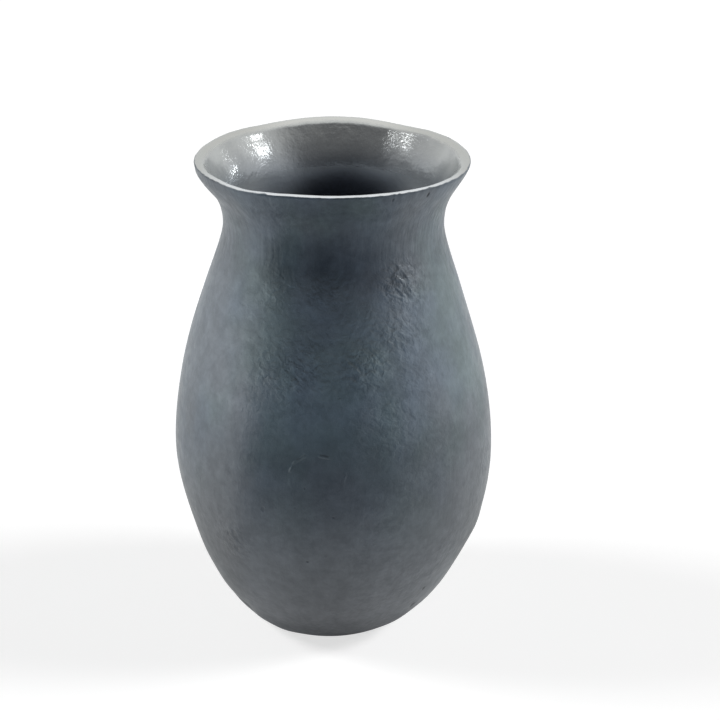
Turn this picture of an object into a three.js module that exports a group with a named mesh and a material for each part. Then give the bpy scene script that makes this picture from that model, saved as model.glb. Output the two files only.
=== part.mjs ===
// Cast aluminium vase, in millimetres: it stands on z = 0, its mouth is up (+Z) and its front is at -Y.
import * as THREE from 'three';

// Driving dimensions of the body, as the outside shows them
const bellyHeight = 97.2;
const neckAboveBelly = 119.9;
const lipAboveNeck = 32.9;
const footDiameter = 80;
const bellyDiameter = 163.6;
const neckDiameter = 109.2;
const mouthDiameter = 135.4;
const wallThickness = 4.5;
const footRounding = 2.2;
const outerLipRounding = 1.6;
const innerLipRounding = 2;
const rimSaddle = 0.9;
const footSlope = THREE.MathUtils.degToRad(57.4);
const lipSlope = THREE.MathUtils.degToRad(27.7);

// Driving dimensions of the base: the closing disc, its seal and the pads under the foot
const ledgeWidth = 4;
const ledgeThickness = 4;
const sealThickness = 0.5;
const sealSetback = 0.5;
const discThickness = 3;
const discChamfer = 0.6;
const discClearance = 0.15;
const discRecess = 0.5;
const coveReach = 6;
const padDiameter = 8;
const padThickness = 1.5;
const padMargin = 1.4;
const padCount = 4;

// How far each end of a stretch of wall keeps its direction, as a share of the stretch's height
const footFullness = 0.288;
const bellyFullnessBelow = 0.321;
const bellyFullnessAbove = 0.439;
const neckFullnessBelow = 0.135;
const neckFullnessAbove = 0.45;
const lipFullness = 0.357;

// Radii of the base, from the outside in
const footRadius = footDiameter / 2;
const footFaceRadius = footRadius - footRounding;
const padRingRadius = footFaceRadius - padMargin - padDiameter / 2;
const rebateRadius = padRingRadius - padDiameter / 2 - padMargin;
const coreHoleRadius = rebateRadius - ledgeWidth;

// Levels of the base, from the ground up
const footLevel = padThickness;
const discBottom = footLevel + discRecess;
const discTop = discBottom + discThickness;
const ledgeLevel = discTop + sealThickness;
const floorLevel = ledgeLevel + ledgeThickness;

// The outline's four stations: its foot, its fullest, its narrowest and its lip
const foot = new THREE.Vector2(footRadius, footLevel);
const belly = new THREE.Vector2(bellyDiameter / 2, bellyHeight);
const neck = new THREE.Vector2(neckDiameter / 2, bellyHeight + neckAboveBelly);
const lip = new THREE.Vector2(mouthDiameter / 2, bellyHeight + neckAboveBelly + lipAboveNeck);

// Facets around the round pieces, and steps along each stretch of wall and each rounded corner
const bodySegments = 64;
const padSegments = 24;
const lowerSteps = 9;
const upperSteps = 8;
const flareSteps = 6;
const cornerSteps = 3;

const castMetal = new THREE.MeshStandardMaterial({ color: 0x5a616c, metalness: 0.6, roughness: 0.6 });
const turnedMetal = new THREE.MeshStandardMaterial({ color: 0xb4b8bb, metalness: 1, roughness: 0.35 });
const sealant = new THREE.MeshStandardMaterial({ color: 0xd9d8d2, metalness: 0, roughness: 0.5 });
const padRubber = new THREE.MeshStandardMaterial({ color: 0x2b2c2e, metalness: 0, roughness: 0.85 });

// The point at a distance from another, along a slope measured from the vertical
function along(from, slope, distance) {
  return new THREE.Vector2(from.x + distance * Math.sin(slope), from.y + distance * Math.cos(slope));
}

function above(from, distance) {
  return along(from, 0, distance);
}

// Evenly spaced points of a curve, each moved off it to the left of its direction by the inset
function pointsOf(curve, steps, inset = 0) {
  return Array.from({ length: steps + 1 }, (_, i) => {
    const point = curve.getPoint(i / steps);
    const direction = curve.getTangent(i / steps);
    return new THREE.Vector2(point.x - inset * direction.y, point.y + inset * direction.x);
  });
}

// A rounded corner, from a point before it to a point after it
function corner(from, at, to) {
  return pointsOf(new THREE.QuadraticBezierCurve(from, at, to), cornerSteps);
}

// The outer face of the wall from the foot's rounding up to the lip's, or that face moved inwards
function wallPoints(inset) {
  const footEdge = along(foot, footSlope, footRounding);
  const lipEdge = along(lip, lipSlope, -outerLipRounding);
  const lowerHeight = belly.y - foot.y;
  const lower = new THREE.CubicBezierCurve(
    footEdge,
    along(footEdge, footSlope, footFullness * lowerHeight),
    above(belly, -bellyFullnessBelow * lowerHeight),
    belly,
  );
  const upper = new THREE.CubicBezierCurve(
    belly,
    above(belly, bellyFullnessAbove * neckAboveBelly),
    above(neck, -neckFullnessBelow * neckAboveBelly),
    neck,
  );
  const flare = new THREE.CubicBezierCurve(
    neck,
    above(neck, neckFullnessAbove * lipAboveNeck),
    along(lipEdge, lipSlope, -lipFullness * lipAboveNeck),
    lipEdge,
  );
  return [
    ...pointsOf(lower, lowerSteps, inset),
    ...pointsOf(upper, upperSteps, inset).slice(1),
    ...pointsOf(flare, flareSteps, inset).slice(1),
  ];
}

// Outside of the body, upwards: the flat foot's rounded edge, the wall and the lip's crisp outer corner
function outerOutline() {
  const footFaceEdge = new THREE.Vector2(footFaceRadius, footLevel);
  const lipFaceEdge = new THREE.Vector2(lip.x - outerLipRounding, lip.y);
  return [
    ...corner(footFaceEdge, foot, along(foot, footSlope, footRounding)),
    ...wallPoints(0).slice(1, -1),
    ...corner(along(lip, lipSlope, -outerLipRounding), lip, lipFaceEdge),
  ];
}

// Inside of the body, downwards: the lip's softer inner corner, the wall and a cove into the floor
function innerOutline() {
  const brow = new THREE.Vector2(lip.x - wallThickness / Math.cos(lipSlope), lip.y);
  const browEnd = along(brow, lipSlope, -innerLipRounding);
  const wall = wallPoints(wallThickness)
    .filter((point) => point.y > floorLevel + wallThickness && point.y < browEnd.y)
    .reverse();
  const [before, last] = wall.slice(-2);
  const run = (last.y - floorLevel) * (before.x - last.x) / (before.y - last.y);
  const heel = new THREE.Vector2(last.x - run, floorLevel);
  return [
    ...corner(new THREE.Vector2(brow.x + innerLipRounding, brow.y), brow, browEnd),
    ...wall.slice(0, -1),
    ...corner(last, heel, new THREE.Vector2(heel.x - coveReach, floorLevel)),
  ];
}

// The rim isn't level: its front and back stand above its sides, which fades out down to the neck
function settleRim(geometry) {
  const position = geometry.getAttribute('position');
  for (let i = 0; i < position.count; i += 1) {
    const angle = Math.atan2(position.getY(i), position.getX(i));
    const share = THREE.MathUtils.smoothstep(position.getZ(i), neck.y, lip.y);
    position.setZ(i, position.getZ(i) - rimSaddle * share * Math.cos(2 * angle));
  }
  return geometry;
}

// Turns an outline of radius and height about the upright axis
function turned(outline, segments) {
  return new THREE.LatheGeometry(outline, segments).rotateX(Math.PI / 2);
}

// One sand casting: wall, lip and floor, with its core hole and the rebate turned into the foot
function vaseBody() {
  const outline = [
    new THREE.Vector2(rebateRadius, footLevel),
    ...outerOutline(),
    ...innerOutline(),
    new THREE.Vector2(coreHoleRadius, floorLevel),
    new THREE.Vector2(coreHoleRadius, ledgeLevel),
    new THREE.Vector2(rebateRadius, ledgeLevel),
    new THREE.Vector2(rebateRadius, footLevel),
  ];
  return new THREE.Mesh(settleRim(turned(outline, bodySegments)), castMetal);
}

// The turned disc that closes the core hole, sitting in the rebate just above the foot face
function baseDisc() {
  const radius = rebateRadius - discClearance;
  const outline = [
    new THREE.Vector2(0, discBottom),
    new THREE.Vector2(radius - discChamfer, discBottom),
    new THREE.Vector2(radius, discBottom + discChamfer),
    new THREE.Vector2(radius, discTop),
    new THREE.Vector2(0, discTop),
  ];
  return new THREE.Mesh(turned(outline, bodySegments), turnedMetal);
}

// The flat ring of sealant between the disc and the ledge, which keeps the water in
function sealRing() {
  const inner = coreHoleRadius + sealSetback;
  const outer = rebateRadius - discClearance;
  const outline = [
    new THREE.Vector2(inner, discTop),
    new THREE.Vector2(outer, discTop),
    new THREE.Vector2(outer, ledgeLevel),
    new THREE.Vector2(inner, ledgeLevel),
    new THREE.Vector2(inner, discTop),
  ];
  return new THREE.Mesh(turned(outline, bodySegments), sealant);
}

// One of the round pads under the foot face, which the vase rests on
function footPad(index) {
  const angle = (index + 0.5) * 2 * Math.PI / padCount;
  const pad = new THREE.CylinderGeometry(padDiameter / 2, padDiameter / 2, padThickness, padSegments);
  pad.rotateX(Math.PI / 2);
  const mesh = new THREE.Mesh(pad, padRubber);
  mesh.position.set(padRingRadius * Math.cos(angle), padRingRadius * Math.sin(angle), padThickness / 2);
  return mesh;
}

const vase = new THREE.Group();
vase.name = 'vase';

function add(name, mesh) {
  mesh.name = name;
  vase.add(mesh);
}

add('vase_body', vaseBody());
add('base_disc', baseDisc());
add('seal_ring', sealRing());
for (let i = 0; i < padCount; i += 1) {
  add(`foot_pad_${i + 1}`, footPad(i));
}

export default vase;
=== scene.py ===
"""Looks of the cast aluminium vase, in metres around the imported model. The front is -Y, up is +Z."""
import math

import bpy
import numpy as np
from mathutils import Matrix, Vector, noise


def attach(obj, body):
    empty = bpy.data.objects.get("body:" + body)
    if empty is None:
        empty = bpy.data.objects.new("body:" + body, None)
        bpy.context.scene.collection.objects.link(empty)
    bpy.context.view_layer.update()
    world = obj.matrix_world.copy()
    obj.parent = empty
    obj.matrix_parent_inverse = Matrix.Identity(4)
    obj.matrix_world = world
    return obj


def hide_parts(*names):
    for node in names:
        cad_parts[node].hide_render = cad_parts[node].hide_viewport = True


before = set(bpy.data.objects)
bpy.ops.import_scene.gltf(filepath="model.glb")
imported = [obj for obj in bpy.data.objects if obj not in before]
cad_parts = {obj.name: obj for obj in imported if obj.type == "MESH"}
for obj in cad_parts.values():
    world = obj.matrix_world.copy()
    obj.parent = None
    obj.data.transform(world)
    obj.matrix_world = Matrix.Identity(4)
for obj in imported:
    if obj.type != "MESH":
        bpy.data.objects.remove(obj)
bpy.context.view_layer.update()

MM = 0.001
WHITE = (1.0, 1.0, 1.0, 1.0)

# Driving dimensions of the body in millimetres, as the solid has them but for a softer inner lip
BELLY_HEIGHT = 97.2
NECK_HEIGHT = BELLY_HEIGHT + 119.9
LIP_HEIGHT = NECK_HEIGHT + 32.9
FOOT_RADIUS = 40.0
BELLY_RADIUS = 81.8
NECK_RADIUS = 54.6
MOUTH_RADIUS = 67.7
WALL = 4.5
FOOT_LEVEL = 1.5
LEDGE_LEVEL = 5.5
FLOOR_LEVEL = 9.5
REBATE_RADIUS = 27.0
CORE_HOLE_RADIUS = 23.0
FOOT_ROUNDING = 2.2
OUTER_LIP_ROUNDING = 1.6
INNER_LIP_ROUNDING = 3.0
RIM_SADDLE = 0.9
COVE_REACH = 6.0
FOOT_SLOPE = math.radians(57.4)
LIP_SLOPE = math.radians(27.7)

# How far each end of a stretch of wall keeps its direction, as a share of the stretch's height
FOOT_FULLNESS = 0.288
BELLY_FULLNESS_BELOW = 0.321
BELLY_FULLNESS_ABOVE = 0.439
NECK_FULLNESS_BELOW = 0.135
NECK_FULLNESS_ABOVE = 0.45
LIP_FULLNESS = 0.357

# The mesh: its columns around the axis, and the spacing of its points along the outline in millimetres
COLUMNS = 332
WALL_SPACING = 1.36
EDGE_SPACING = 0.5
MOUTH_SPACING = 2.0
CAVITY_SPACING = 7.0
BASE_SPACING = 2.5

# How far down from the lip the inside is meshed finely, how far the inner wall stays clear of the lip's
# rounding, how high over the foot's face the skin begins, and the step under which two points are one, all
# in millimetres
MOUTH_DEPTH = 80.0
CORNER_GAP = 0.3
LEVEL_MARGIN = 0.01
SMALLEST_STEP = 1e-6

# Points of a curve before they are spaced evenly, and the angle from which an edge isn't shaded smooth
CURVE_POINTS = 400
SHARP_ANGLE = math.radians(50)

# The camera: its distance and height angle, its focal length in pixels of the 720 pixel frame, and the
# pixel where the middle of the vase lies
FRAME_PIXELS = 720
CAMERA_DISTANCE = 0.9
CAMERA_ELEVATION = math.radians(24.66)
FOCAL_PIXELS = 1748.1
SENSOR_WIDTH = 36.0
AIM_HEIGHT = 125.0
AIM_PIXEL = (333.0, 389.2)

# What makes the casting hand made. Places around it are angles in degrees from the front towards the right,
# their widths too, and all else is in millimetres, but for strengths and darkenings, which are shares.

# Sideways drift of the body's centre: height, how far to the right it lies there
DRIFT = (
    (8, -1.6),
    (20, -0.1),
    (62, 1.4),
    (107, 0.3),
    (168, -0.3),
    (219, 0.3),
    (250, -0.3),
)

# Dips in the rim: angle, width, depth
RIM_DIPS = (
    (-150, 17, 1.0),
    (147, 15, 1.0),
    (-39, 14, 0.9),
    (60, 20, 0.2),
    (-108, 22, 0.5),
    (108, 20, -0.3),
)

# Where the flare under the lip is fuller than the ideal form: angle, width, swell. Then the heights between
# which the swell comes in, and between which it goes out again.
FLARE_SWELLS = (
    (-95, 45, 1.5),
    (90, 45, 0.3),
)
FLARE_RISE = (232, 242)
FLARE_FALL = (245, 249.5)

# How far bare metal reaches down the outside of the lip, and the angles between which this begins and ends
LIP_WEAR = 0.35
WEAR_BEGINS = (-27.0, -25.8)
WEAR_ENDS = (28, 50)

# Nicks where the dark skin creeps over the lip's outer corner: angle, width, depth
LIP_NICKS = (
    (24.5, 0.9, 0.7),
    (27.0, 0.7, 0.5),
    (42.0, 0.7, 0.9),
    (-28.0, 1.2, 0.4),
    (118, 1.5, 0.8),
    (-140, 1.2, 0.7),
)

# Dents and lumps low on the body: angle, height, reach, how far they stand out
LUMPS = (
    (-68, 34, 7, -0.4),
    (-56, 14, 6, -2.0),
    (-28, 6, 8, 0.7),
    (58, 30, 9, 0.35),
    (74, 58, 9, 0.7),
    (40, 12, 8, 0.7),
    (140, 25, 10, -0.6),
    (-150, 35, 9, 0.5),
)

# Patches of the skin that are wrinkled like leather: angle, height, reach, strength
WRINKLED = (
    (37, 201, 13, 1.1),
    (31, 180, 15, 0.62),
    (12, 166, 15, 0.68),
    (34, 160, 20, 0.36),
    (20, 140, 22, 0.42),
    (-12, 160, 24, 0.5),
    (-24, 200, 16, 0.25),
    (-3, 200, 14, 0.34),
    (-40, 70, 13, 0.6),
    (120, 185, 24, 0.8),
    (-150, 150, 26, 0.7),
    (170, 95, 22, 0.5),
    (-110, 205, 20, 0.6),
    (75, 100, 18, 0.4),
)

# How wrinkled the skin is elsewhere, and how much more so where its noise is high
WRINKLED_LEAST = 0.1
WRINKLED_MORE = 0.14

# Dark stains and painted shade around the neck, darkest at the front under the lip: angle, height, reach
# across, reach along, strength
STAINS_AND_SHADE = (
    (-1, 213, 15, 13, 0.5),
    (-27, 212, 9, 11, 0.38),
    (17, 211, 10, 12, 0.25),
    (-12, 198, 16, 8, 0.05),
    (100, 206, 20, 12, 0.4),
    (175, 212, 22, 14, 0.45),
    (-105, 208, 16, 12, 0.3),
)

# Pits and small dark marks: angle, height, reach across, reach along, depth, darkening
PITS = (
    (43.0, 36.4, 1.2, 1.9, 0.3, 0.5),
    (42.0, 24.1, 1.8, 2.2, 0.3, 0.6),
    (-9.2, 67.5, 0.9, 0.8, 0.25, 0.4),
    (-41.2, 73.6, 1.1, 1.4, 0.2, 0.25),
    (-41.5, 67.0, 1.0, 1.3, 0.2, 0.2),
    (-39.2, 65.9, 0.9, 1.1, 0.15, 0.2),
    (-24.5, 95.5, 1.2, 1.6, 0.15, 0.15),
    (-9.5, 109.8, 0.6, 0.8, 0.15, 0.25),
    (0.2, 94.9, 0.7, 0.7, 0.15, 0.25),
    (42.0, 246.0, 0.9, 3.2, 0.25, 0.75),
    (24.5, 246.8, 0.8, 1.8, 0.1, 0.4),
    (150, 120, 1.0, 1.2, 0.3, 0.4),
    (-120, 60, 1.1, 1.0, 0.3, 0.4),
    (95, 150, 0.9, 1.1, 0.2, 0.3),
    (-170, 190, 0.9, 1.4, 0.2, 0.3),
)

# The thin arc that a stamped ring left on the belly: its centre, radius and height over the skin, and the
# heights below and above the centre between which it comes in
SCAR_ANGLE = -5.9
SCAR_HEIGHT = 114.4
SCAR_RADIUS = 12.7
SCAR_RELIEF = 0.3
SCAR_START = 8
SCAR_FULL = 4

# Layers of smooth noise: strength, distance between hills, seed. A seed moves the noise by that many steps.
# WRINKLE_SPACINGS sets the distances between slanting wrinkles, and FILED_COUNT those between filed waves.
NOISE_STEP = 17.3
SWELLS = ((0.32, 46, 1), (0.14, 19, 2))
WRINKLED_NOISE = ((1.0, 42, 3),)
SLANTING_WRINKLES = ((0.6, 1, 4),)
FINE_WRINKLES = ((0.5, 4.2, 5),)
FILED_WAVES = ((0.16, 1, 8),)
INNER_SWELLS = ((0.35, 15, 9),)
BLOTCHES = ((0.35, 9, 11), (0.25, 4, 12))

# Height of the wrinkles where they are strongest, how far they climb in a turn of one radian, and the
# distances between them along one slant, along the other, and from front to back
WRINKLE_RELIEF = 0.16
WRINKLE_CLIMB = 60
WRINKLE_SPACINGS = (9.0, 3.6, 20)

# Heights between which the swells and the lumps come in
SKIN_RISE = (3, 14)
LUMPS_RISE = (2, 8)

# Distances from the lip's outer corner between which the outside's relief comes in, and the inside's, and
# the height over the floor at which the inside's relief begins
LIP_CLEARANCE = (0.5, 9)
INNER_RISE = (7, 20)
COVE_CLEARANCE = 12

# The lip's filed part, by distance past its outer corner: where it begins and ends, where its waves are
# highest, and how far from there they fall off. Then how many waves there are to a radian.
FILED_FROM = -6
FILED_TO = 9
FILED_CREST = 1
FILED_FALL = (1, 7)
FILED_COUNT = 9

# How far from the lip's outer corner its wear is felt
WEAR_REACH = 8


# Outline of the body

def along(point, slope, distance):
    """The point at a distance from another, along a slope measured from the vertical."""
    return np.array(point) + distance * np.array([math.sin(slope), math.cos(slope)])


def bezier(*controls):
    """Points of the Bezier curve with these control points."""
    t = np.linspace(0, 1, CURVE_POINTS)[:, None]
    points = [np.array(c, float) + 0 * t for c in controls]
    while len(points) > 1:
        points = [(1 - t) * a + t * b for a, b in zip(points, points[1:])]
    return points[0]


def spaced(points, spacing):
    """The same line with evenly spaced points, the first and last kept."""
    steps = np.linalg.norm(np.diff(points, axis=0), axis=1)
    length = np.concatenate([[0], np.cumsum(steps)])
    count = max(1, round(length[-1] / spacing))
    at = np.linspace(0, length[-1], count + 1)
    return np.stack([np.interp(at, length, points[:, i]) for i in range(2)], axis=1)


def wall_curve():
    """The outer face of the wall, from the foot's rounding up to the lip's."""
    foot_edge = along((FOOT_RADIUS, FOOT_LEVEL), FOOT_SLOPE, FOOT_ROUNDING)
    lip_edge = along((MOUTH_RADIUS, LIP_HEIGHT), LIP_SLOPE, -OUTER_LIP_ROUNDING)
    belly = np.array([BELLY_RADIUS, BELLY_HEIGHT])
    neck = np.array([NECK_RADIUS, NECK_HEIGHT])
    lower = BELLY_HEIGHT - FOOT_LEVEL
    upper = NECK_HEIGHT - BELLY_HEIGHT
    flare = LIP_HEIGHT - NECK_HEIGHT
    up = np.array([0.0, 1.0])
    return np.vstack([
        bezier(
            foot_edge,
            along(foot_edge, FOOT_SLOPE, FOOT_FULLNESS * lower),
            belly - BELLY_FULLNESS_BELOW * lower * up,
            belly,
        ),
        bezier(
            belly,
            belly + BELLY_FULLNESS_ABOVE * upper * up,
            neck - NECK_FULLNESS_BELOW * upper * up,
            neck,
        )[1:],
        bezier(
            neck,
            neck + NECK_FULLNESS_ABOVE * flare * up,
            along(lip_edge, LIP_SLOPE, -LIP_FULLNESS * flare),
            lip_edge,
        )[1:],
    ])


def inner_curve(wall):
    """The wall's inner face, from under the lip's inner corner down to the cove's top."""
    tangent = np.gradient(wall, axis=0)
    tangent /= np.linalg.norm(tangent, axis=1)[:, None]
    inner = wall + WALL * np.stack([-tangent[:, 1], tangent[:, 0]], axis=1)
    lip_end = LIP_HEIGHT - INNER_LIP_ROUNDING * math.cos(LIP_SLOPE)
    keep = (inner[:, 1] > FLOOR_LEVEL + WALL) & (inner[:, 1] < lip_end - CORNER_GAP)
    return inner[keep][::-1]


def outer_parts(wall, lip_face_edge):
    """The outline from the rebate out over the foot and up the wall to the lip's outer corner."""
    foot_face_edge = (FOOT_RADIUS - FOOT_ROUNDING, FOOT_LEVEL)
    return [
        spaced(bezier((REBATE_RADIUS, FOOT_LEVEL), foot_face_edge), BASE_SPACING),
        spaced(bezier(foot_face_edge, (FOOT_RADIUS, FOOT_LEVEL), wall[0]), EDGE_SPACING),
        spaced(wall, WALL_SPACING),
        spaced(bezier(wall[-1], (MOUTH_RADIUS, LIP_HEIGHT), lip_face_edge), EDGE_SPACING),
    ]


def inner_parts(inner, lip_face, brow):
    """The outline from the lip's face down the inside, over the floor and round the ledge to the rebate."""
    slope = inner[-1] - inner[-2]
    heel = inner[-1] + slope * (FLOOR_LEVEL - inner[-1][1]) / slope[1]
    floor_edge = (heel[0] - COVE_REACH, FLOOR_LEVEL)
    deep = inner[:, 1] < LIP_HEIGHT - MOUTH_DEPTH
    base = [
        floor_edge,
        (CORE_HOLE_RADIUS, FLOOR_LEVEL),
        (CORE_HOLE_RADIUS, LEDGE_LEVEL),
        (REBATE_RADIUS, LEDGE_LEVEL),
        (REBATE_RADIUS, FOOT_LEVEL),
    ]
    return [
        spaced(lip_face, EDGE_SPACING),
        spaced(bezier(lip_face[-1], brow, inner[0]), EDGE_SPACING),
        spaced(inner[~deep], MOUTH_SPACING),
        spaced(inner[deep], CAVITY_SPACING),
        spaced(bezier(inner[-1], heel, floor_edge), BASE_SPACING),
        *[spaced(bezier(start, end), CAVITY_SPACING) for start, end in zip(base, base[1:])],
    ]


def outline():
    """The body's closed outline as radius and height in millimetres, up the outside and down the inside.

    The second result is each point's distance past the lip's outer corner along the outline, in
    millimetres, less than zero on the outside.
    """
    wall = wall_curve()
    brow = (MOUTH_RADIUS - WALL / math.cos(LIP_SLOPE), LIP_HEIGHT)
    lip_face = bezier(
        (MOUTH_RADIUS - OUTER_LIP_ROUNDING, LIP_HEIGHT),
        (brow[0] + INNER_LIP_ROUNDING, LIP_HEIGHT),
    )
    outer = outer_parts(wall, lip_face[0])
    points = np.vstack(outer + inner_parts(inner_curve(wall), lip_face, brow))
    step = np.linalg.norm(np.diff(points, axis=0), axis=1)
    kept = np.concatenate([[True], step > SMALLEST_STEP])
    kept[-1] = False
    distance = np.concatenate([[0], np.cumsum(step)])
    corner = distance[sum(len(part) for part in outer) - len(outer[-1]) // 2]
    return points[kept], (distance - corner)[kept]


# Shape of the casting

def smooth(value, low, high):
    """0 below low, 1 above high, smooth between."""
    t = np.clip((value - low) / (high - low), 0, 1)
    return t * t * (3 - 2 * t)


def near_angle(angle, centre, width):
    """1 at a centre around the vase, falling off over a width, both in degrees. The angle is in radians."""
    away = (np.degrees(angle) - centre + 180) % 360 - 180
    return np.exp(-(away / width) ** 2)


def near_point(points, centre, reach):
    """1 at a centre, falling off over a reach."""
    return np.exp(-(np.linalg.norm(points - centre, axis=1) / reach) ** 2)


def around(angle, height, radius):
    """The point at an angle around the axis, in degrees, at a height and a radius."""
    turn = math.radians(angle)
    return np.array([radius * math.sin(turn), -radius * math.cos(turn), height])


def on_skin(angle, height):
    """The point of the ideal outer skin at an angle and height."""
    wall = wall_curve()
    return around(angle, height, float(np.interp(height, wall[:, 1], wall[:, 0])))


def noise_at(points, layers):
    """The sum of layers of smooth noise around 0 at points, each with its strength, wavelength and seed."""
    total = np.zeros(len(points))
    for strength, wavelength, seed in layers:
        scaled = points / wavelength + NOISE_STEP * seed
        total += strength * np.array([noise.noise(Vector(p)) for p in scaled])
    return total


def drift(height):
    """How far the body's centre lies to the right at a height."""
    total = np.zeros_like(height) + DRIFT[0][1]
    for (low, before), (high, after) in zip(DRIFT, DRIFT[1:]):
        total += (after - before) * smooth(height, low, high)
    return total


def flare_swell(angle, height):
    """How much fuller the flare under the lip is than the ideal form."""
    share = smooth(height, *FLARE_RISE) * (1 - smooth(height, *FLARE_FALL))
    return share * sum(swell * near_angle(angle, centre, width) for centre, width, swell in FLARE_SWELLS)


def rim_change(angle, height):
    """How much the rim is raised or lowered, fading out down the neck."""
    dips = sum(depth * near_angle(angle, centre, width) for centre, width, depth in RIM_DIPS)
    return smooth(height, NECK_HEIGHT, LIP_HEIGHT) * (RIM_SADDLE * np.cos(2 * angle) - dips)


def lip_wear(angle):
    """How far bare metal reaches down the outside of the lip, less where the skin nicks into it."""
    degrees = np.degrees(angle)
    front = smooth(degrees, *WEAR_BEGINS) * (1 - smooth(degrees, *WEAR_ENDS))
    nicks = sum(depth * near_angle(angle, centre, width) for centre, width, depth in LIP_NICKS)
    return LIP_WEAR * front - nicks


def wrinkle_share(points):
    """How strongly each point of the skin is wrinkled, from 0 to 1."""
    share = WRINKLED_LEAST + WRINKLED_MORE * smooth(noise_at(points, WRINKLED_NOISE), 0.0, 0.5)
    for angle, height, reach, strength in WRINKLED:
        share = np.maximum(share, strength * near_point(points, on_skin(angle, height), reach))
    return np.clip(share, 0, 1)


def stain_and_shade_share(points):
    """How dark each point of the skin is stained or has painted shade, from 0 to 1, with blotchy edges."""
    share = np.zeros(len(points))
    for angle, height, reach_across, reach_along, strength in STAINS_AND_SHADE:
        offset = points - on_skin(angle, height)
        across = np.hypot(offset[:, 0], offset[:, 1]) / reach_across
        away = np.hypot(across, offset[:, 2] / reach_along)
        share = 1 - (1 - share) * (1 - strength * np.exp(-away ** 2))
    return np.clip(share * (1 + noise_at(points, BLOTCHES)), 0, 1)


def skin_relief(points, angle):
    """Low swells of the outer skin, and slanting wrinkles where it is wrinkled."""
    climb = WRINKLE_CLIMB * angle
    slant = np.stack([points[:, 2] - climb, points[:, 2] + climb, points[:, 1]], axis=1) / WRINKLE_SPACINGS
    wrinkles = noise_at(slant, SLANTING_WRINKLES) + noise_at(points, FINE_WRINKLES)
    return noise_at(points, SWELLS) + WRINKLE_RELIEF * wrinkle_share(points) * wrinkles


def lumps_relief(points):
    """Dents and lumps low on the body."""
    total = np.zeros(len(points))
    for angle, height, reach, size in LUMPS:
        total += size * near_point(points, on_skin(angle, height), reach)
    return total


def body_relief(points, angle, height, past, outside):
    """How far each point of the casting stands off its ideal form."""
    relief = np.zeros(len(points))
    skin = smooth(height[outside], *SKIN_RISE) * skin_relief(points[outside], angle[outside])
    skin += smooth(height[outside], *LUMPS_RISE) * lumps_relief(points[outside])
    relief[outside] = skin * smooth(-past[outside], *LIP_CLEARANCE)
    relief[outside] += flare_swell(angle[outside], height[outside])

    lip = (past > FILED_FROM) & (past < FILED_TO)
    circle = FILED_COUNT * np.stack([np.sin(angle[lip]), np.cos(angle[lip]), 0 * angle[lip]], axis=1)
    filed = 1 - smooth(abs(past[lip] - FILED_CREST), *FILED_FALL)
    relief[lip] += filed * noise_at(circle, FILED_WAVES)

    inside = (past > INNER_RISE[0]) & (height > FLOOR_LEVEL + COVE_CLEARANCE)
    relief[inside] += smooth(past[inside], *INNER_RISE) * noise_at(points[inside], INNER_SWELLS)
    return relief


def ring_faces(rows):
    """The faces between the points of a closed outline that is turned about the axis."""
    below = np.arange(rows)[:, None] * COLUMNS
    above = np.roll(np.arange(rows), -1)[:, None] * COLUMNS
    left = np.arange(COLUMNS)[None, :]
    right = np.roll(np.arange(COLUMNS), -1)[None, :]
    return np.stack([below + left, below + right, above + right, above + left], axis=-1).reshape(-1, 4)


def body_mesh():
    """The casting as one closed mesh, with what its material has to know at each point.

    past_lip is the distance past the lip's outer corner in millimetres, less than zero on the outside.
    wrinkled is a share, and so is the share of stain and painted shade.
    """
    profile, past_lip = outline()
    rows = len(profile)
    direction = np.roll(profile, -1, axis=0) - np.roll(profile, 1, axis=0)
    direction /= np.linalg.norm(direction, axis=1)[:, None]
    turn = np.linspace(0, 2 * np.pi, COLUMNS, endpoint=False)
    angle = np.tile((turn + np.pi) % (2 * np.pi) - np.pi, rows)
    radius, height = (np.repeat(profile[:, i], COLUMNS) for i in range(2))
    up, out = (np.repeat(share, COLUMNS) for share in (-direction[:, 0], direction[:, 1]))
    past = np.repeat(past_lip, COLUMNS)
    outwards = np.stack([np.sin(angle), -np.cos(angle)], axis=1)
    points = np.column_stack([radius[:, None] * outwards, height])

    outside = (past < 0) & (height > FOOT_LEVEL + LEVEL_MARGIN)
    relief = body_relief(points, angle, height, past, outside)
    points[:, :2] += (relief * out)[:, None] * outwards
    points[:, 2] += relief * up + rim_change(angle, height)
    points[:, 0] += drift(height)

    mesh = bpy.data.meshes.new("vase")
    mesh.from_pydata((points * MM).tolist(), [], ring_faces(rows).tolist())
    shares = {
        "past_lip": past + np.where(abs(past) < WEAR_REACH, lip_wear(angle), 0),
        "wrinkled": np.where(outside, wrinkle_share(points), 0),
        "stain_and_shade": np.where(outside, stain_and_shade_share(points), 0),
    }
    for name, values in shares.items():
        mesh.attributes.new(name, "FLOAT", "POINT").data.foreach_set("value", values.astype(np.float32))
    mesh.shade_smooth()
    mesh.set_sharp_from_angle(angle=SHARP_ANGLE)
    mesh.validate()
    return mesh


# Materials

def colour(red, green, blue):
    """A linear colour from its screen values, 0 to 255."""
    def linear(value):
        share = value / 255
        return share / 12.92 if share <= 0.04045 else ((share + 0.055) / 1.055) ** 2.4
    return (linear(red), linear(green), linear(blue), 1.0)


# Colours of the skin, from its clouds to its stains and painted shade
SKIN_GREENISH = colour(107, 118, 121)
SKIN_BLUISH = colour(108, 117, 126)
SKIN_PURPLISH = colour(111, 117, 123)
SKIN_LOW = colour(113, 116, 119)
SKIN_STAIN_AND_SHADE = colour(34, 36, 48)

# Colours of the bare metal, from the filed lip to the painted shade at the back of the neck's inside
LIP_FRONT = colour(224, 227, 229)
LIP_BACK = colour(203, 204, 200)
LIP_SIDE = colour(187, 188, 184)
INNER_PALE = colour(192, 195, 194)
INNER_GREY = colour(182, 185, 185)
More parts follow.
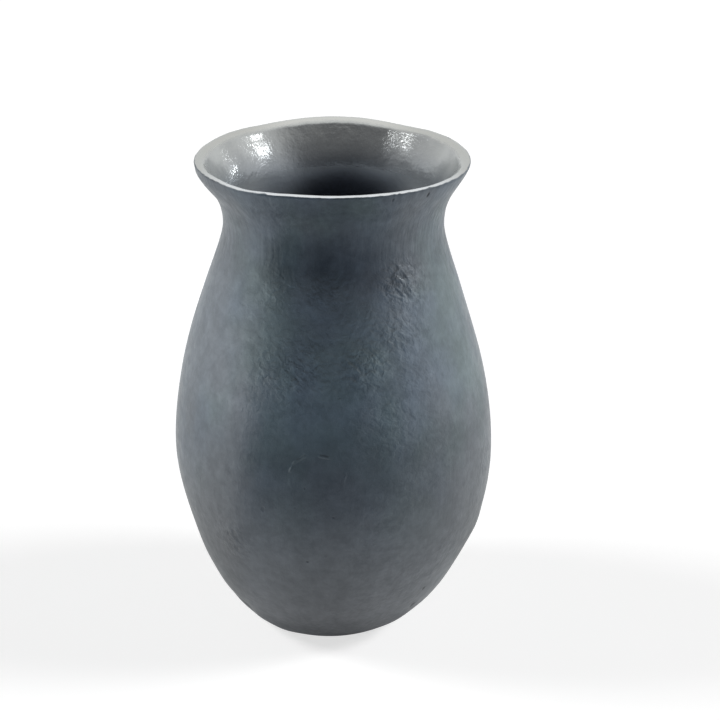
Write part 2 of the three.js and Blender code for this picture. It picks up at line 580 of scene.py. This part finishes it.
# Painted shade deep down in the middle, painted light deep down at the sides, and painted shade at the back
DEEP_SHADED = colour(158, 165, 173)
DEEP_LIT = colour(196, 202, 206)
BACK_SHADE = colour(70, 75, 86)

# Where the painted shade at the back of the inside lies, and how far it reaches along each axis, in
# millimetres
BACK_SHADE_CENTRE = (7, 52, 213)
BACK_SHADE_REACH = (48, 60, 24)

# Distances past the lip's outer corner between which skin turns to bare metal, and the lip to the inside
BARE_EDGE = (-0.5, 0.1)
INSIDE_EDGE = (3.0, 6.5)

# Heights between which the skin changes: where its clouds fade, it has painted shade under the lip and at
# the foot, it has a painted sheen, drawn streaks show in its colour, and they show in its relief high up
# and low down
CLOUDS_FADE = (150, 50)
LIP_SHADE_HEIGHTS = (218, 232)
FOOT_SHADE_HEIGHTS = (26, 12)
SHEEN_BEGINS = (120, 150)
SHEEN_ENDS = (212, 192)
STREAKED = (195, 215)
DRAWN_HIGH = (190, 215)
DRAWN_LOW = (140, 80)

# Heights between which the inside changes: where it gets glossy, where painted shade darkens it, and where
# painted light brightens its sides
INSIDE_GLOSSY = (216, 236)
INSIDE_SHADED = (246, 222)
INSIDE_LIT = (233, 224)

# Distances to either side between which the lip gets duller, the inside has painted light and mirrors less,
# and the streaks get stronger. The last is the distance to the back over which the lip gets duller.
LIP_DULLER = (20, 50)
SIDE_LIT = (30, 45)
SIDE_PLAIN = (45, 60)
SIDE_DRAWN = (8, 30)
BACK_DULLER = (-52, -15)

# Tint of the metal's edges, which mirror at a flat angle
METAL_TINT = (0.8, 0.82, 0.83, 1.0)

# Colours of the pieces under the foot
TURNED_BRIGHT = colour(205, 207, 208)
TURNED_DULL = colour(168, 168, 166)
SEALANT_PALE = colour(226, 225, 219)
SEALANT_DULL = colour(206, 203, 194)
RUBBER_BLACK = colour(40, 40, 42)
RUBBER_DUST = colour(66, 65, 63)

# How much each direction counts in a noise: the less along the height, the longer its hills are that way
STREAK_STRETCH = (1.0, 1.0, 0.09)
CLOUD_STRETCH = (1.0, 1.0, 0.6)
RIDGE_STRETCH = (1.0, 1.0, 0.6)

# How far the ridges turn about the axis with each millimetre of height, in radians
RIDGE_TWIST = 0.013

# Pitch of the rings that the lathe left on the disc, in millimetres
RING_PITCH = 0.35


class Nodes:
    """A node tree, with short calls for the nodes that it uses."""

    def __init__(self, tree):
        self.tree = tree

    def plug(self, socket, value):
        """Gives a socket a value, or links another node's socket to it."""
        if isinstance(value, bpy.types.NodeSocket):
            self.tree.links.new(value, socket)
        else:
            socket.default_value = value

    def node(self, kind, inputs=(), **settings):
        """Adds a node, with its inputs by name or number."""
        node = self.tree.nodes.new("ShaderNode" + kind)
        for name, value in settings.items():
            setattr(node, name, value)
        for name, value in dict(inputs).items():
            self.plug(node.inputs[name], value)
        return node

    def math(self, operation, *values):
        """A number worked out from others."""
        return self.node("Math", enumerate(values), operation=operation).outputs[0]

    def scaled(self, value, factor, offset):
        """A number times a factor, plus an offset."""
        return self.math("MULTIPLY_ADD", value, factor, offset)

    def total(self, first, *others):
        """The sum of several numbers."""
        for other in others:
            first = self.math("ADD", first, other)
        return first

    def product(self, first, *others):
        """The product of several numbers."""
        for other in others:
            first = self.math("MULTIPLY", first, other)
        return first

    def vector(self, operation, first, second):
        """A vector worked out from two others."""
        return self.node("VectorMath", {0: first, 1: second}, operation=operation).outputs[0]

    def length(self, vector):
        """A vector's length."""
        return self.node("VectorMath", {0: vector}, operation="LENGTH").outputs["Value"]

    def seen_share(self):
        """1 for what the camera, a reflection or glass sees, 0 for what light falls on."""
        rays = self.node("LightPath").outputs
        reflected = self.math("MAXIMUM", rays["Is Camera Ray"], rays["Is Glossy Ray"])
        return self.math("MAXIMUM", reflected, rays["Is Transmission Ray"])


class Look(Nodes):
    """A material, with short calls for the patterns that it uses. They take lengths in millimetres."""

    def __init__(self, name):
        self.material = bpy.data.materials.new(name)
        self.material.use_nodes = True
        super().__init__(self.material.node_tree)
        self.shader = self.tree.nodes["Principled BSDF"]

    def set(self, **values):
        """Sets the shader's sockets, with spaces in their names written as underscores."""
        for name, value in values.items():
            self.plug(self.shader.inputs[name.replace("_", " ")], value)

    def finish_with(self, shader):
        """Makes a shader socket the material's surface."""
        self.plug(self.tree.nodes["Material Output"].inputs["Surface"], shader)

    def place(self):
        """The point's place, in metres."""
        return self.node("TexCoord").outputs["Object"]

    def axis(self, name):
        """The point's place along an axis, in millimetres."""
        return self.math("DIVIDE", self.node("SeparateXYZ", {"Vector": self.place()}).outputs[name], MM)

    def stretched(self, scale):
        """The point's place in metres, with each direction multiplied."""
        return self.vector("MULTIPLY", self.place(), scale)

    def attribute(self, name):
        """A number that the mesh holds at each point."""
        return self.node("Attribute", attribute_name=name).outputs["Fac"]

    def noise(self, wavelength, detail, roughness=0.5, vector=None, distortion=0.0):
        """Noise from 0 to 1 whose hills are a wavelength apart."""
        node = self.node("TexNoise", {
            "Vector": self.place() if vector is None else vector,
            "Scale": 1 / (wavelength * MM),
            "Detail": detail,
            "Roughness": roughness,
            "Distortion": distortion,
        })
        return node.outputs["Fac"]

    def ramp(self, value, low, high, at_low=0.0, at_high=1.0):
        """A smooth step from one value to another as the input goes from low to high."""
        numbers = enumerate((value, low, high, at_low, at_high))
        return self.node("MapRange", numbers, interpolation_type="SMOOTHSTEP").outputs[0]

    def mix(self, share, first, second):
        """A colour between two, by a share."""
        return self.node("Mix", {0: share, 6: first, 7: second}, data_type="RGBA").outputs[2]

    def blend(self, share, first, second):
        """A number between two, by a share."""
        return self.node("Mix", {0: share, 2: first, 3: second}, data_type="FLOAT").outputs[0]

    def swing(self, noise, amount):
        """A factor around 1 that follows a noise, by an amount either way."""
        return self.scaled(self.ramp(noise, 0.3, 0.7, -1.0, 1.0), amount, 1.0)

    def distance(self, centre, reach):
        """Distance from a centre, in units of the reach along each axis."""
        offset = self.vector("SUBTRACT", self.place(), [value * MM for value in centre])
        return self.length(self.vector("MULTIPLY", offset, [1 / (value * MM) for value in reach]))

    def relief(self, height):
        """Bumps the shader's normal by a height."""
        bump = self.node("Bump", {"Height": height, "Distance": MM, "Strength": 1.0})
        self.set(Normal=bump.outputs["Normal"])


def cast_metal():
    """The casting: dark patina outside, filed bright lip, paler metal inside with painted shade deep down
    and painted light at its sides.
    """
    look = Look("cast_aluminium")
    height = look.axis("Z")
    side = look.math("ABSOLUTE", look.axis("X"))
    ragged = look.scaled(look.noise(3.5, 3), 1.2, -0.6)
    past = look.math("ADD", look.attribute("past_lip"), ragged)
    bare = look.ramp(past, *BARE_EDGE)
    inside = look.ramp(past, *INSIDE_EDGE)
    pits = [pit(look, *mark) for mark in PITS]
    leather = look.noise(2.8, 2, distortion=0.3)
    streaks = look.noise(2.3, 2, vector=look.stretched(STREAK_STRETCH))
    patina = patina_colour(look, height, patina_shade(look, height, pits, leather, streaks))
    bare_metallic = look.ramp(inside, 0, 1, 1.0, look.ramp(side, *SIDE_PLAIN, 0.66, 0.4))
    skin_roughness = look.ramp(look.noise(5, 3), 0.3, 0.7, 0.33, 0.42)
    bare_roughness = look.ramp(height, *INSIDE_GLOSSY, 0.5, 0.17)
    look.set(
        Base_Color=look.mix(bare, patina, bare_colour(look, height, side, inside)),
        Metallic=look.blend(bare, 0.75, bare_metallic),
        Roughness=look.blend(bare, skin_roughness, bare_roughness),
        Specular_Tint=METAL_TINT,
    )
    outer = outer_relief(look, height, side, pits, leather, streaks)
    look.relief(look.blend(bare, outer, inner_relief(look, inside)))
    return look.material


def pit(look, angle, height, across, along_height, depth, darkening):
    """1 in the middle of a small pit of the skin, 0 outside it, with its depth and darkening."""
    away = look.distance(on_skin(angle, height), (across, across, along_height))
    return look.ramp(away, 1.3, 0.4), depth, darkening


def patina_colour(look, height, shade):
    """Bluish grey with faint greenish and purplish clouds, plainer low down, dark where it is stained or
    has painted shade.
    """
    bluish = look.ramp(look.noise(45, 2), 0.38, 0.62)
    purplish = look.ramp(look.noise(38, 2, vector=look.stretched(CLOUD_STRETCH)), 0.42, 0.66)
    patina = look.mix(bluish, SKIN_GREENISH, SKIN_BLUISH)
    patina = look.mix(purplish, patina, SKIN_PURPLISH)
    patina = look.mix(look.ramp(height, *CLOUDS_FADE), patina, SKIN_LOW)
    # Stains, and painted shade under the lip, darken the patina here
    patina = look.mix(look.attribute("stain_and_shade"), patina, SKIN_STAIN_AND_SHADE)
    return look.node("VectorMath", {0: patina, "Scale": shade}, operation="SCALE").outputs[0]


def patina_shade(look, height, pits, leather, streaks):
    """How light the skin is: a painted sheen on the upper belly, painted shade under the lip and at the
    foot, darker in pits.
    """
    clouds = look.ramp(look.noise(9, 4, 0.6), 0.3, 0.7, 0.9, 1.1)
    # Painted shade under the lip and at the foot, and a painted sheen over the upper belly
    lip_shade = look.ramp(height, *LIP_SHADE_HEIGHTS, 1.0, 0.84)
    foot_shade = look.ramp(height, *FOOT_SHADE_HEIGHTS, 1.0, 0.78)
    sheen_band = look.product(look.ramp(height, *SHEEN_BEGINS), look.ramp(height, *SHEEN_ENDS))
    painted_sheen = look.scaled(sheen_band, 0.28, 1.0)
    rubbed = look.swing(leather, look.scaled(look.attribute("wrinkled"), 0.16, 0.025))
    streaked = look.swing(streaks, look.ramp(height, *STREAKED, 0.01, 0.05))
    marks = [look.scaled(spot, -darkening, 1.0) for spot, _, darkening in pits]
    return look.product(clouds, lip_shade, foot_shade, painted_sheen, rubbed, streaked, *marks)


def bare_colour(look, height, side, inside):
    """Bare metal: brightest on the lip's front, greyer inside, with painted shade deep down and at the
    back, and painted light deep at the sides.
    """
    lip = look.mix(look.ramp(side, *LIP_DULLER), LIP_BACK, LIP_SIDE)
    lip = look.mix(look.ramp(look.axis("Y"), *BACK_DULLER), LIP_FRONT, lip)
    # Painted light on the deep sides, painted shade deep in the middle and at the back
    lit = look.product(look.ramp(side, *SIDE_LIT), look.ramp(height, *INSIDE_LIT))
    deep = look.mix(lit, DEEP_SHADED, DEEP_LIT)
    inner = look.mix(look.ramp(look.noise(12, 3), 0.35, 0.65), INNER_PALE, INNER_GREY)
    inner = look.mix(look.ramp(height, *INSIDE_SHADED), inner, deep)
    back_shade = look.ramp(look.distance(BACK_SHADE_CENTRE, BACK_SHADE_REACH), 1.0, 0.25)
    return look.mix(inside, lip, look.mix(back_shade, inner, BACK_SHADE))


def outer_relief(look, height, side, pits, leather, streaks):
    """Fine relief of the skin: leathery wrinkles, grain, drawn lines, a scar and pits."""
    wrinkled = look.attribute("wrinkled")
    high = look.product(look.ramp(height, *DRAWN_HIGH), look.ramp(side, *SIDE_DRAWN, 0.35, 1.0))
    low = look.ramp(height, *DRAWN_LOW, 0, 0.3)
    drawn = look.scaled(look.math("MAXIMUM", high, low), 0.2, 0.03)
    return look.total(
        look.product(slanted_ridges(look, height), look.math("POWER", wrinkled, 2.0), 1.7),
        look.product(leather, look.scaled(wrinkled, 1.1, 0.02)),
        look.product(look.noise(0.9, 2), 0.04),
        look.product(streaks, drawn),
        look.product(scar(look, height), SCAR_RELIEF),
        *[look.product(spot, -depth) for spot, depth, _ in pits],
    )


def slanted_ridges(look, height):
    """Ridges that slant round the vase as they climb."""
    turned = look.node(
        "VectorRotate",
        {"Vector": look.place(), "Angle": look.math("MULTIPLY", height, RIDGE_TWIST)},
        rotation_type="Z_AXIS",
    )
    stretched = look.vector("MULTIPLY", turned.outputs[0], RIDGE_STRETCH)
    return look.noise(4.0, 1, vector=stretched, distortion=0.3)


def scar(look, height):
    """1 on the thin raised arc that a stamped ring left on the belly, broken up along its way."""
    away = look.distance(on_skin(SCAR_ANGLE, SCAR_HEIGHT), (1, 1, 1))
    uneven = look.scaled(look.noise(14, 1), 7.0, -3.5)
    off = look.math("ABSOLUTE", look.math("SUBTRACT", look.math("ADD", away, uneven), SCAR_RADIUS))
    line = look.ramp(off, 1.3, 0.1)
    broken = look.ramp(look.noise(7, 2), 0.35, 0.55)
    upper = look.ramp(height, SCAR_HEIGHT - SCAR_START, SCAR_HEIGHT + SCAR_FULL)
    return look.product(line, broken, upper)


def inner_relief(look, inside):
    """Fine relief of the bare metal: soft hills, and a grain that is stronger inside than on the lip."""
    grain = look.product(look.noise(2.4, 3, 0.6), look.ramp(inside, 0, 1, 0.03, 0.15))
    return look.total(look.product(look.noise(7, 1), 0.14), grain)


def turned_metal():
    """The base disc: bare metal with the rings that a lathe tool leaves."""
    look = Look("turned_aluminium")
    radius = look.length(look.stretched((1.0, 1.0, 0.0)))
    rings = look.math("SINE", look.math("MULTIPLY", radius, 2 * math.pi / (RING_PITCH * MM)))
    stain = look.ramp(look.noise(8, 4), 0.4, 0.7)
    look.set(
        Base_Color=look.mix(stain, TURNED_BRIGHT, TURNED_DULL),
        Metallic=1.0,
        Roughness=look.ramp(look.noise(3, 3), 0.3, 0.7, 0.28, 0.42),
    )
    look.relief(look.math("MULTIPLY", rings, 0.006))
    return look.material


def cured_sealant():
    """The seal ring: a pale rubbery bead."""
    look = Look("sealant")
    look.set(
        Base_Color=look.mix(look.noise(4, 3), SEALANT_PALE, SEALANT_DULL),
        Roughness=0.45,
    )
    look.relief(look.math("MULTIPLY", look.noise(1.6, 3), 0.12))
    return look.material


def pad_rubber():
    """The foot pads: matt black rubber with a fine grain and dusty patches."""
    look = Look("pad_rubber")
    dusty = look.ramp(look.noise(2.2, 4), 0.45, 0.75)
    look.set(
        Base_Color=look.mix(dusty, RUBBER_BLACK, RUBBER_DUST),
        Roughness=look.ramp(look.noise(1.2, 3), 0.3, 0.7, 0.7, 0.9),
    )
    look.relief(look.math("MULTIPLY", look.noise(0.35, 2), 0.04))
    return look.material


# The object

def make_vase():
    """The casting with its hand-made relief, in place of the plain solid."""
    vase = bpy.data.objects.new("vase", body_mesh())
    bpy.context.collection.objects.link(vase)
    vase.data.materials.append(cast_metal())
    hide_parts("vase_body")
    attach(vase, "root")


def dress(node, material):
    """Gives a CAD node's object its material."""
    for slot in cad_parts[node].material_slots:
        slot.material = material


def dress_base():
    """Finishes the solids under the foot: disc, seal and pads."""
    dress("base_disc", turned_metal())
    dress("seal_ring", cured_sealant())
    rubber = pad_rubber()
    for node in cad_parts:
        if node.startswith("foot_pad_"):
            dress(node, rubber)


# The studio, in metres and watts. Directions are in degrees: round from the front to the right, and up.
FLOOR_SIZE = 12.0
FLOOR_LIFT = 0.68
FLOOR_COLOUR = (0.5, 0.5, 0.5, 1.0)
FLOOR_ROUGHNESS = 0.9
WORLD_FILL = 0.06
MOUTH = Vector((0.0, 0.0, 0.24))
LAMP_AIM = Vector((0.0, 0.0, 0.13))
LAMP_DISTANCE = 1.4

# Broad even lights from far away: direction round, direction up, strength
SUNS = {
    "left_light": (-98, 35, 1.7),
    "right_light": (92, 35, 1.9),
}
SUN_SPREAD = math.radians(20)

# Lamps that glint inside the mouth: direction round and up as seen from the mouth, size, power
GLINTS = {
    "right_window": (85, 31.8, 0.075, 0.9),
    "right_glint": (126, 12.8, 0.03, 0.35),
    "left_window": (-86, 41, 0.3, 0.3),
    "left_glint": (-88, 36.5, 0.045, 0.4),
    "left_gleam": (-68, 41, 0.045, 0.12),
}


def toward(azimuth, elevation, distance):
    """A step of a distance in a direction."""
    rise = math.radians(elevation)
    return Vector(around(azimuth, distance * math.sin(rise), distance * math.cos(rise)))


def make_world():
    """White to the camera and in reflections, and a low even fill for the rest."""
    world = bpy.data.worlds.new("studio")
    world.use_nodes = True
    bpy.context.scene.world = world
    nodes = Nodes(world.node_tree)
    background = nodes.tree.nodes["Background"]
    nodes.plug(background.inputs["Color"], WHITE)
    nodes.plug(background.inputs["Strength"], nodes.scaled(nodes.seen_share(), 1 - WORLD_FILL, WORLD_FILL))


def floor_material():
    """Grey where light falls on it, white to the camera and in reflections, and clear from below."""
    look = Look("floor")
    look.set(
        Base_Color=FLOOR_COLOUR,
        Roughness=FLOOR_ROUGHNESS,
        Specular_IOR_Level=0.0,
        Emission_Color=WHITE,
        Emission_Strength=look.product(look.seen_share(), FLOOR_LIFT),
    )
    below = look.node("NewGeometry").outputs["Backfacing"]
    clear = look.node("BsdfTransparent").outputs[0]
    look.finish_with(look.node("MixShader", {0: below, 1: look.shader.outputs[0], 2: clear}).outputs[0])
    return look.material


def make_floor():
    """A pale floor that reads as white and keeps the vase's shadow."""
    half = FLOOR_SIZE / 2
    corners = [(-half, -half, 0), (half, -half, 0), (half, half, 0), (-half, half, 0)]
    mesh = bpy.data.meshes.new("floor")
    mesh.from_pydata(corners, [], [(0, 1, 2, 3)])
    mesh.materials.append(floor_material())
    floor = bpy.data.objects.new("floor", mesh)
    bpy.context.collection.objects.link(floor)


# What the front of the vase mirrors: a dim room, from the floor near the foot out to a wall and up. Lengths
# are in millimetres, and directions in degrees as seen from the vase's middle.
ROOM_MIDDLE = 140.0
ROOM_NEAR = 38.0
ROOM_RADIUS = 1100.0
ROOM_LOW = 1.0
ROOM_HEIGHT = 2300.0
ROOM_FLOOR_POINTS = 32
ROOM_WALL_POINTS = 24
ROOM_REACH = 130
ROOM_CENTRE = -5.0

# Its colour straight ahead: direction up, red, green, blue. The first is the painted shadow on the floor at
# the foot's edge.
ROOM = (
    (-75, 0.04, 0.04, 0.05),
    (-70, 0.42, 0.42, 0.43),
    (-65, 0.61, 0.61, 0.62),
    (-55, 0.58, 0.60, 0.62),
    (-42, 0.47, 0.50, 0.53),
    (-25, 0.26, 0.30, 0.35),
    (-14, 0.15, 0.18, 0.22),
    (0, 0.21, 0.27, 0.33),
    (12, 0.32, 0.38, 0.46),
    (18, 0.03, 0.035, 0.04),
    (30, 0.04, 0.04, 0.045),
    (50, 0.09, 0.09, 0.095),
    (63, 0.50, 0.50, 0.50),
)
ROOM_ANGLES, *ROOM_CHANNELS = zip(*ROOM)


def left_window(turn, rise, high):
    """How much the left window shines from a direction: sharp and bright low down, softer high up."""
    glare = 0.3 * smooth(-turn, 56, 66) * (1 - smooth(-turn, 98, 107)) * smooth(rise, -9, 1)
    edge = 62.5 - 6 * smooth(rise, 3, 12)
    low_part = smooth(-turn, edge - 0.5, edge + 0.5) * (1 + glare)
    sill = 23 - 14 * smooth(-turn, 88, 118)
    high_part = 0.22 * smooth(-turn, 58, 62) + 0.48 * smooth(-turn, 64, 122)
    return (1 - high) * low_part + high * high_part * smooth(rise, sill, sill + 3)


def right_window(turn, rise, high):
    """How much the right window shines from a direction: narrow and bright low down, wider high up."""
    low_part = smooth(turn, 94, 96)
    high_part = smooth(turn, 76, 80) * (0.2 + 0.5 * smooth(rise, 22, 34))
    return (1 - high) * low_part + high * high_part


def right_haze(turn, rise, high):
    """How much a pale haze veils the room towards the right."""
    haze = 0.85 * smooth(turn, 22, 95) * (1 - 0.45 * smooth(-rise, 35, 55))
    return haze * (1 + 0.3 * high * (1 - 2 * smooth(turn, 60, 80)))


def room_colour(turn, rise):
    """The room's colour in a direction: dim ahead, hazy to the right, with bright windows at both sides."""
    dim = np.array([np.interp(rise, ROOM_ANGLES, channel) for channel in ROOM_CHANNELS])
    dim = dim * (1 + 0.25 * smooth(abs(turn - ROOM_CENTRE), 8, 35))
    high = smooth(rise, 8, 20)
    dim = dim + right_haze(turn, rise, high) * (1 - dim)
    # The windows dim towards the floor by the vase: painted shadow of the vase on the floor, as reflections
    # see it
    bright = 1.08 - 0.42 * smooth(-rise, 26, 58)
    window = max(left_window(turn, rise, high), right_window(turn, rise, high))
    return dim + window * (bright - dim)


def room_mesh():
    """The room's floor and wall swept round the front of the vase, with their colour at each point."""
    floor_part = [(r, ROOM_LOW) for r in np.geomspace(ROOM_NEAR, ROOM_RADIUS, ROOM_FLOOR_POINTS)]
    wall_part = [(ROOM_RADIUS, z) for z in np.linspace(ROOM_LOW, ROOM_HEIGHT, ROOM_WALL_POINTS)[1:]]
    profile = floor_part + wall_part
    turns = range(-ROOM_REACH, ROOM_REACH + 1)
    points = []
    colours = []
    for turn in turns:
        for r, z in profile:
            points.append((around(turn, z, r) * MM).tolist())
            rise = math.degrees(math.atan2(z - ROOM_MIDDLE, r))
            colours.append([*room_colour(turn, rise), 1.0])
    rows = len(profile)
    corners = [i * rows + j for i in range(len(turns) - 1) for j in range(rows - 1)]
    mesh = bpy.data.meshes.new("dim_room")
    mesh.from_pydata(points, [], [(c, c + rows, c + rows + 1, c + 1) for c in corners])
    glow = mesh.attributes.new("glow", "FLOAT_COLOR", "POINT")
    glow.data.foreach_set("color", np.array(colours, dtype=np.float32).ravel())
    return mesh


def glow_material():
    """Gives off the colour that the mesh holds at each point."""
    look = Look("dim_room")
    look.tree.nodes.remove(look.shader)
    glow = look.node("Attribute", attribute_name="glow").outputs["Color"]
    look.finish_with(look.node("Emission", {"Color": glow}).outputs[0])
    return look.material


def make_dim_room():
    """The unlit room behind the camera, which only reflections see."""
    mesh = room_mesh()
    mesh.materials.append(glow_material())
    sheet = bpy.data.objects.new("dim_room", mesh)
    bpy.context.collection.objects.link(sheet)
    sheet.visible_camera = False
    sheet.visible_diffuse = False
    sheet.visible_shadow = False


def soft_sun(name, azimuth, elevation, strength):
    """A broad even light from far away, which reflections don't show."""
    light = bpy.data.lights.new(name, "SUN")
    light.energy = strength
    light.angle = SUN_SPREAD
    lamp = bpy.data.objects.new(name, light)
    lamp.rotation_euler = toward(azimuth, elevation, 1.0).to_track_quat("Z", "Y").to_euler()
    lamp.visible_glossy = False
    bpy.context.collection.objects.link(lamp)


def soft_lamp(name, azimuth, elevation, size, power):
    """A square area lamp in a direction from the mouth, which faces the vase's middle."""
    light = bpy.data.lights.new(name, "AREA")
    light.size = size
    light.energy = power
    lamp = bpy.data.objects.new(name, light)
    lamp.location = MOUTH + toward(azimuth, elevation, LAMP_DISTANCE)
    lamp.rotation_euler = (LAMP_AIM - lamp.location).to_track_quat("-Z", "Y").to_euler()
    bpy.context.collection.objects.link(lamp)


def make_lamps():
    """The two broad lights and the lamps that glint."""
    for name, values in SUNS.items():
        soft_sun(name, *values)
    for name, values in GLINTS.items():
        soft_lamp(name, *values)


def make_camera():
    """Stands where the photograph was taken from, and aims so that the vase lies where it does there."""
    middle = Vector((0.0, 0.0, AIM_HEIGHT * MM))
    back = Vector((0.0, -math.cos(CAMERA_ELEVATION), math.sin(CAMERA_ELEVATION)))
    right = Vector((1.0, 0.0, 0.0))
    up = right.cross(-back)
    per_pixel = CAMERA_DISTANCE / FOCAL_PIXELS
    aim = middle + per_pixel * (
        (FRAME_PIXELS / 2 - AIM_PIXEL[0]) * right + (AIM_PIXEL[1] - FRAME_PIXELS / 2) * up
    )
    data = bpy.data.cameras.new("camera")
    data.sensor_width = SENSOR_WIDTH
    data.lens = SENSOR_WIDTH * FOCAL_PIXELS / FRAME_PIXELS
    camera = bpy.data.objects.new("camera", data)
    place = middle + CAMERA_DISTANCE * back
    ahead = (aim - place).normalized()
    across = ahead.cross(up).normalized()
    turn = Matrix((across, across.cross(ahead), -ahead)).transposed().to_4x4()
    camera.matrix_world = Matrix.Translation(place) @ turn
    bpy.context.collection.objects.link(camera)
    bpy.context.scene.camera = camera


make_camera()
make_world()
make_floor()
make_dim_room()
make_lamps()
make_vase()
dress_base()
bpy.context.scene.view_settings.view_transform = "Standard"
